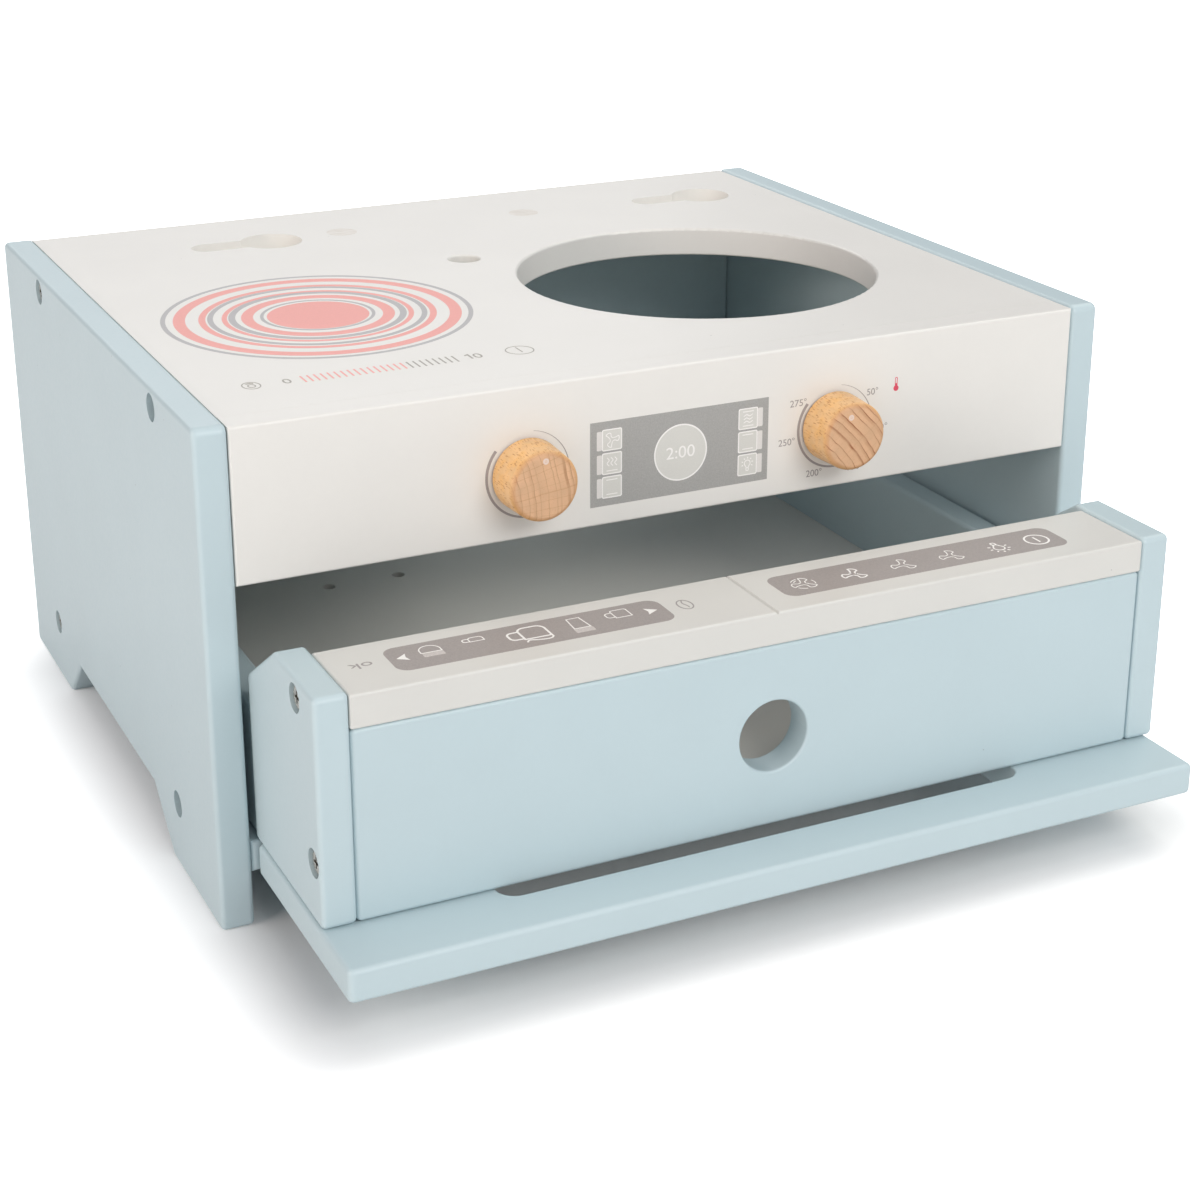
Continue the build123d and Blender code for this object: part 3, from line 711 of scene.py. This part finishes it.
# Icons, drawn about their own middle and then laid at their place. Shares are of the icon's size.
icons = {
    # one fan blade from the hub out to its tip, and back to where the next one starts
    "bladeOut": [(0.10, 0.21), (0.18, 0.225), (0.36, 0.235), (0.66, 0.31), (0.90, 0.43)],
    "bladeBack": [(0.99, 0.37), (1.03, 0.12), (0.96, -0.12), (0.80, -0.26), (0.62, -0.20), (0.42, -0.11),
                  (0.26, -0.14)],
    "bulb": (0.5, -50, 230),  # radius, degrees from and to
    "neck": (0.17, -0.72),  # half width, height
    "cap": (0.2, -1.02, 0.16, 0.12),  # half width, height, depth, corner
    "rays": (7, -25, 225),  # how many, where the first stands, degrees to the last
    "ray": (0.76, 1.02),
    "rayLine": 1.2,  # share of the icon's line
}


# Three wide blades drawn in one line
def addFan(bm, ink, x, y, size, width):
    out = [Vector(p) for p in icons["bladeOut"]]
    ahead = [p @ Matrix.Rotation(math.radians(120), 2) for p in out[:2]]
    outline = curveThrough(out + icons["bladeBack"] + ahead)
    blade = bmesh.new()
    addLine(blade, [(size * px, size * py) for px, py in outline], width)
    bm.from_mesh(repeatMark(blade, ink, 3, turn=120, at=(x, y)))


def addLamp(bm, ink, x, y, size, width):
    half, up = icons["neck"]
    neck = y + size * up
    radius, start, end = icons["bulb"]
    bulb = arc(x, y, size * radius, start, end, 22)
    addLine(bm, [(x + size * half, neck)] + bulb + [(x - size * half, neck)], width)
    half, up, depth, corner = icons["cap"]
    foot = y + size * up - size * depth
    cap = roundedBox(x - size * half, foot, x + size * half, neck, size * corner, 3)
    addLine(bm, cap, width, closed=True, level=3)
    count, first, sweep = icons["rays"]
    c, s = math.cos(math.radians(first)), math.sin(math.radians(first))
    ray = bmesh.new()
    addLine(ray, [(size * share * c, size * share * s) for share in icons["ray"]], width * icons["rayLine"])
    bm.from_mesh(repeatMark(ray, ink, count, turn=sweep / (count - 1), at=(x, y)))


# Wavy lines, side by side when they stand upright and one above the other when they lie
def addWaves(bm, ink, x, y, length, rise, count, step, width, upright):
    line = curveThrough([(-length / 2, -rise), (-length / 6, rise), (length / 6, -rise), (length / 2, rise)])
    if upright:
        line = [(-b, a) for a, b in line]
    wave = bmesh.new()
    addLine(wave, line, width)
    way = (step, 0, 0) if upright else (0, step, 0)
    shift = step * (count - 1) / 2
    place = (x - shift, y) if upright else (x, y - shift)
    bm.from_mesh(repeatMark(wave, ink, count, way, at=place))


def addBar(bm, x, y, length, width):
    addLine(bm, [(x - length / 2, y), (x + length / 2, y)], width)


# Oven display: mottled panel, round clock, two columns of tabs. Millimetres from the case's left side
# and from the table.
display = {
    "panel": (142.5, 135.4, 214.45, 167.0),
    "clock": (178.5, 151.1, 10.45),
    "clockLine": 0.55,
    "time": ("2:00", 172.7, 149.0, 4.5, 11.5),
    "tabRows": [(156.15, 163.8), (147.3, 155.0), (138.4, 146.2)],
    "leftTab": (147.3, 154.8, 145.1),  # the tab and the far edge of its flap
    "rightTab": (202.2, 209.85, 212.1),
    "tabCorner": 0.5,
    "tabLine": 0.42,
    "flapGap": 0.25,
    "flapInside": (0.15, 0.35),  # how far it ends inside the tab, below and above
    "flapCorner": 0.4,
    "line": 0.34,
    "fanSize": 2.75,
    "steam": (3.2, 0.42, 3, 1.5),  # length, rise, count, step
    "steamUp": 0.6,
    "heat": (3.7, 0.3, 3, 1.25),
    "lampSize": 2.4,
    "lampUp": 0.5,
    "barLength": 4.4,
    "barAway": 2.7,
}


def makeDisplay():
    panel, tabs, flaps, lines = [bmesh.new() for _ in range(4)]
    white = inkOf["white"]
    x0, z0, x1, z1 = display["panel"]
    addPatch(panel, [(x0, z0), (x1, z0), (x1, z1), (x0, z1)])
    x, z, r = display["clock"]
    addPatch(tabs, arc(x, z, r, 0, 360, 96), level=1)
    addLine(lines, arc(x, z, r, 0, 360, 96), display["clockLine"], closed=True)
    addText(lines, *display["time"])
    thin, away, wide = display["line"], display["barAway"], display["barLength"]
    gap, (under, above) = display["flapGap"], display["flapInside"]
    for low, high in display["tabRows"]:
        for inner0, inner1, outer in (display["leftTab"], display["rightTab"]):
            tab = roundedBox(inner0, low, inner1, high, display["tabCorner"], 3)
            addPatch(tabs, tab, level=1)
            addLine(lines, tab, display["tabLine"], closed=True)
            a, b = (outer, inner0 - gap) if outer < inner0 else (inner1 + gap, outer)
            addPatch(flaps, roundedBox(a, low + under, b, high - above, display["flapCorner"], 3), level=1)
    top, centre, bottom = [(low + high) / 2 for low, high in display["tabRows"]]
    left, right = sum(display["leftTab"][:2]) / 2, sum(display["rightTab"][:2]) / 2
    addFan(lines, white, left, top, display["fanSize"], thin)
    addWaves(lines, white, left, centre + display["steamUp"], *display["steam"], thin, upright=True)
    addBar(lines, left, centre - away, wide, thin)
    addWaves(lines, white, right, top, *display["heat"], thin, upright=False)
    for x, y in ((left, bottom), (right, top), (right, centre)):
        addBar(lines, x, y + away, wide, thin)
        addBar(lines, x, y - away, wide, thin)
    addLamp(lines, white, right, bottom + display["lampUp"], display["lampSize"], thin)
    printPiece("display_panel", panel, onFascia, "panelGrey", "case")
    printPiece("display_tabs", tabs, onFascia, "tab", "case")
    printPiece("display_flaps", flaps, onFascia, "flap", "case")
    printPiece("display_lines", lines, onFascia, "white", "case")


# Dial prints round the knobs: a line that swells clockwise, and the heat scale of the right one
dials = {
    "centres": [(118.6, 152.0), (243.0, 151.9)],  # about 1 mm off their knobs, as prints often are
    "radius": 15.75,
    "fromTop": (8, 310),  # degrees clockwise
    "swell": (0.12, 1.15),  # the line's width at its start and end
    "words": [
        ("275°", 223.5, 161.6, 2.75, 6.9),
        ("250°", 219.0, 147.1, 2.7, 6.8),
        ("200°", 231.2, 133.4, 2.75, 6.6),
        ("50°", 256.4, 161.8, 2.7, 4.8),
        ("100°", 259.1, 147.3, 2.7, 6.8),
        ("150°", 249.2, 133.4, 2.75, 6.7),
    ],
    "thermometer": (269.1, 163.0, 1.12),  # its bulb: middle and radius
    "stem": (0.42, 0.9, 3.75, 0.26),  # half width, foot and top above the bulb's middle, line
    "mercury": (0.6, 1.9, 0.7),  # foot, top, line
}


def makeDials():
    grey, red = bmesh.new(), bmesh.new()
    start, end = dials["fromTop"]
    for x, z in dials["centres"]:
        addLine(grey, arc(x, z, dials["radius"], 90 - start, 90 - end, 90), dials["swell"])
    for words in dials["words"]:
        addText(grey, *words)
    x, z, bulb = dials["thermometer"]
    addPatch(red, arc(x, z, bulb, 0, 360, 32))
    half, foot, top, line = dials["stem"]
    stem = arc(x, z + top, half, 0, 180, 10)
    addLine(red, [(x + half, z + foot)] + stem + [(x - half, z + foot)], line, level=1)
    low, high, line = dials["mercury"]
    addLine(red, [(x, z + low), (x, z + high)], line, level=3)
    printPiece("dial_prints", grey, onFascia, "printGrey", "case")
    printPiece("thermometer_print", red, onFascia, "red", "case")


# Pointer dots on the knobs: a filled middle in a broad ring
knobDots = {
    "places": {"left": (0.2, 9.4), "right": (-2.1, 7.85)},  # mm from the knob's middle
    "ring": (0.76, 0.68),  # radius, line
    "middle": 0.28,
}


def makeKnobDots():
    radius, line = knobDots["ring"]
    for side, (x, z) in knobDots["places"].items():
        middle = middleOf(side + "_knob")
        face = layOn((1, 0, 0), (0, 0, 1), (middle.x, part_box(side + "_knob")[0][1], middle.z))
        dot = bmesh.new()
        addLine(dot, arc(x, z, radius, 0, 360, 32), line, closed=True)
        addPatch(dot, arc(x, z, knobDots["middle"], 0, 360, 16))
        printPiece(side + "_knob_dot", dot, face, "dot", side + "_knob")


makeDisplay()
makeDials()
makeKnobDots()
print("fascia and knobs printed")


# Hood control board: two strips of pictures, read with the hood upright. Millimetres from the middle
# of the board's upper edge.
controls = {
    "strips": [(32.85, -28.9, 133.45, -9.9), (-129.5, -28.6, -10.0, -9.7)],
    "corner": 4.6,
    "line": 0.44,
    "bold": 0.78,
    "fans": (4, -20.8, -18.7, -20.5),  # how many, first middle, height, step
    "fanSize": 4.6,
    "boldFan": (1, 0.85),  # which one, share of the bold line
    # turning marks round the first fan: radius as a share of its size, start, degrees, steps
    "turns": [(0.97, 38, 44, 8), (0.97, 158, 44, 8), (0.97, 278, 44, 8), (0.74, 290, 32, 6)],
    "turnLine": 0.8,  # share of the thin line
    "lamp": (-102.7, -17.5, 4.2, 0.55),  # middle, size, line
    "power": (-119.9, -18.5, 4.55),
    "powerLine": (-0.54, 0.53),
    "bean": (25.4, -19.9, 2.6, 1.53, 0.5),  # middle, half width, height to width, line
    "beanSplit": [(-0.45, 2.7), (-0.3, 1.0), (0.2, -0.5), (0.3, -1.9), (-0.35, -3.6)],
    "splitLine": 0.42,
    "word": ("ok", 138.9, -22.1, 4.2, 8.0),
}

# The strip of drinks: an arrow at each end, a bowl and a glass with foam, two cups, a mug with its lid
drinks = {
    "arrows": [(130.8, 126.9), (36.0, 40.2)],  # tip, back
    "arrowRise": (-20.0, -17.5, -20.1, -22.8),  # tip, upper corner, notch, lower corner
    "arrowNotch": 0.17,
    "foam": [(114.5, -20.2, 121.9, -17.2), (61.9, -17.0, 68.9, -13.6)],
    "foamCorner": 0.4,
    "bowl": (118.35, -22.1, 3.65, -20.5),  # middle, radius, rim
    # each cup: its box, its handle's box and the radius at its foot
    "lowCup": ((98.9, -25.5, 104.0, -22.3), (104.0, -24.8, 106.3, -22.5), 1.4),
    "mug": ((77.1, -25.35, 86.7, -16.3), (86.9, -22.9, 91.2, -17.0), 2.8),
    "smallCup": ((45.7, -25.7, 51.6, -19.5), (51.6, -24.1, 54.4, -20.3), 0.9),
    "handleCorner": 0.45,  # radius as a share of the handle's shorter side
    "lid": [(77.1, -16.3), (77.1, -15.1), (78.0, -14.1), (79.6, -13.8), (82.6, -14.3), (85.2, -15.15),
            (86.2, -14.9), (86.9, -13.8)],
    "lidLine": 0.85,  # share of the bold line
    "glass": [(63.2, -25.5), (67.8, -25.5), (68.4, -17.2), (62.4, -17.2)],
}


def addCup(bm, box, handle, bend, width):
    x0, y0, x1, y1 = box
    wall = arc(x0 + bend, y0 + bend, bend, 180, 270, 6) + arc(x1 - bend, y0 + bend, bend, 270, 360, 6)
    addLine(bm, [(x0, y1)] + wall + [(x1, y1)], width, closed=True)
    x0, y0, x1, y1 = handle
    r = min(y1 - y0, x1 - x0) * drinks["handleCorner"]
    loop = arc(x1 - r, y1 - r, r, 90, 0, 5) + arc(x1 - r, y0 + r, r, 0, -90, 5)
    addLine(bm, [(x0, y1)] + loop + [(x0, y0)], width, level=3)


def addDrinks(white, foam, thin, bold):
    tipUp, upper, notchUp, lower = drinks["arrowRise"]
    for tip, back in drinks["arrows"]:
        notch = back + (tip - back) * drinks["arrowNotch"]
        addPatch(white, [(tip, tipUp), (back, upper), (notch, notchUp), (back, lower)], level=2)
    for box in drinks["foam"]:
        addPatch(foam, roundedBox(*box, drinks["foamCorner"], 2), level=1)
    x, y, r, rim = drinks["bowl"]
    addLine(white, [(x - r, rim)] + arc(x, y, r, 180, 360, 18) + [(x + r, rim)], thin, closed=True)
    addCup(white, *drinks["lowCup"], thin)
    addCup(white, *drinks["mug"], bold)
    addLine(white, curveThrough(drinks["lid"]), bold * drinks["lidLine"], level=4)
    addLine(white, drinks["glass"], thin, closed=True)
    addCup(white, *drinks["smallCup"], thin)


def makeControlPrints():
    strips, white, grey, foam = [bmesh.new() for _ in range(4)]
    thin, bold = controls["line"], controls["bold"]
    for strip in controls["strips"]:
        addPatch(strips, roundedBox(*strip, controls["corner"], 8))
    addDrinks(white, foam, thin, bold)
    count, x, y, step = controls["fans"]
    size = controls["fanSize"]
    boldOne, share = controls["boldFan"]
    for i in range(count):
        addFan(white, inkOf["white"], x + step * i, y, size, bold * share if i == boldOne else thin)
    for radius, start, turn, steps in controls["turns"]:
        mark = arc(x, y, size * radius, start, start + turn, steps)
        addLine(white, mark, thin * controls["turnLine"], level=4)
    addLamp(white, inkOf["white"], *controls["lamp"])
    addPowerSign(white, *controls["power"], bold, *controls["powerLine"])
    x, y, wide, tall, line = controls["bean"]
    addLine(grey, arc(x, y, wide, 0, 360, 32, tall), line, closed=True)
    split = [(x + px, y + py) for px, py in curveThrough(controls["beanSplit"])]
    addLine(grey, split, controls["splitLine"], level=3)
    addText(grey, *controls["word"])
    printPiece("control_strips", strips, onControls, "stripGrey", "hood")
    printPiece("control_foam", foam, onControls, "foam", "hood")
    printPiece("control_pictures", white, onControls, "white", "hood")
    printPiece("control_marks", grey, onControls, "printGrey", "hood")


makeControlPrints()
print("control board printed")


# Studio: plain pale floor, white surroundings and soft boxes
studio = {
    "floor": "#F2F2F2",
    "floorSize": 16.0,  # metres, as all of the studio's sizes
    "floorRoughness": 0.8,
    "floorShade": 0.99,  # of the paper's darker clouds
    "glow": 1.12,  # the paper looks burnt out to white, but not under the object
    "glowMiddle": (0.0, -0.01, 0.0),
    "glowOutside": (0.155, 0.155, 1.0),  # half of the patch under the object that doesn't glow
    "glowFull": 0.085,  # how far from that patch the glow is full
    "surround": 0.345,
    "surroundColour": "#F1F6FF",
    "backdrop": 1.2,  # enough to reach white in every channel
    "aim": (0, 0, 0.1),
    # name: place, width, height, power in watts, colour
    "boxes": {
        "front": ((0.5, -2.7, 2.1), 2.2, 1.4, 45, "#FFFDFA"),
        "frontLow": ((0.5, -2.9, 1.2), 2.2, 1.4, 10, "#FFFFFF"),
        "left": ((-3.5, -0.7, 0.9), 2.0, 1.6, 41, "#FFF1E8"),
        "leftHigh": ((-3.0, -0.5, 1.9), 2.0, 1.6, 15, "#FFF1E8"),
        "over": ((1.6, 0.6, 2.8), 2.0, 2.0, 32, "#FFFBF3"),
        "rear": ((0.5, 3.0, 1.6), 2.4, 1.2, 14, "#FFFFFF"),
    },
}


def makeFloor():
    bm = bmesh.new()
    bmesh.ops.create_grid(bm, x_segments=8, y_segments=8, size=studio["floorSize"] / 2)
    mesh = bpy.data.meshes.new("studioFloor")
    bm.to_mesh(mesh)
    bm.free()
    glowing = {"Emission Color": linear(studio["floor"])}
    material, tree, shader, where = startMaterial("paperFloor", studio["floorRoughness"], glowing)
    fromMiddle = addNode(tree, "ShaderNodeVectorMath", {"operation": "SUBTRACT", 1: studio["glowMiddle"]},
                         {0: where["Object"]})
    folded = addNode(tree, "ShaderNodeVectorMath", {"operation": "ABSOLUTE"}, {0: fromMiddle.outputs[0]})
    beyond = addNode(tree, "ShaderNodeVectorMath", {"operation": "SUBTRACT", 1: studio["glowOutside"]},
                     {0: folded.outputs[0]})
    outside = addNode(tree, "ShaderNodeVectorMath", {"operation": "MAXIMUM", 1: (0, 0, 0)},
                      {0: beyond.outputs[0]})
    away = addNode(tree, "ShaderNodeVectorMath", {"operation": "LENGTH"}, {0: outside.outputs[0]})
    glow = addNode(tree, "ShaderNodeMapRange", {
        "From Max": studio["glowFull"], "interpolation_type": "SMOOTHSTEP",
    }, {"Value": away.outputs["Value"]})
    path = addNode(tree, "ShaderNodeLightPath")
    seen = addNode(tree, "ShaderNodeMath", {"operation": "MULTIPLY", 1: studio["glow"]},
                   {0: path.outputs["Is Camera Ray"]})
    strength = addNode(tree, "ShaderNodeMath", {"operation": "MULTIPLY"},
                       {0: glow.outputs[0], 1: seen.outputs[0]})
    tree.links.new(strength.outputs[0], shader.inputs["Emission Strength"])
    tone = addNode(tree, "ShaderNodeTexNoise", {"Scale": 3.0, "Detail": 2.0},
                   {"Vector": where["Object"]})
    paper = addNode(tree, "ShaderNodeMix", {
        "data_type": "RGBA", 6: linear(studio["floor"], studio["floorShade"]), 7: linear(studio["floor"]),
    }, {0: tone.outputs["Fac"]})
    tree.links.new(paper.outputs[2], shader.inputs["Base Color"])
    mesh.materials.append(material)
    floor = addObject("studioFloor", mesh)


def makeLights():
    world = bpy.data.worlds.new("whiteStudio")
    world.use_nodes = True
    tree = world.node_tree
    light = tree.nodes["Background"]
    path = addNode(tree, "ShaderNodeLightPath")
    strength = addNode(tree, "ShaderNodeMapRange", {
        "To Min": studio["surround"], "To Max": studio["backdrop"],
    }, {"Value": path.outputs["Is Camera Ray"]})
    light.inputs["Color"].default_value = linear(studio["surroundColour"])
    tree.links.new(strength.outputs[0], light.inputs["Strength"])
    bpy.context.scene.world = world
    for name, (place, width, height, power, colour) in studio["boxes"].items():
        lamp = bpy.data.lights.new(name, "AREA")
        lamp.shape, lamp.size, lamp.size_y, lamp.energy = "RECTANGLE", width, height, power
        lamp.color = linear(colour)[:3]
        obj = addObject(name, lamp)
        obj.location = place
        obj.rotation_euler = (Vector(studio["aim"]) - Vector(place)).to_track_quat("-Z", "Y").to_euler()


makeFloor()
makeLights()
bpy.context.scene.view_settings.view_transform = "Standard"
print("studio lit")
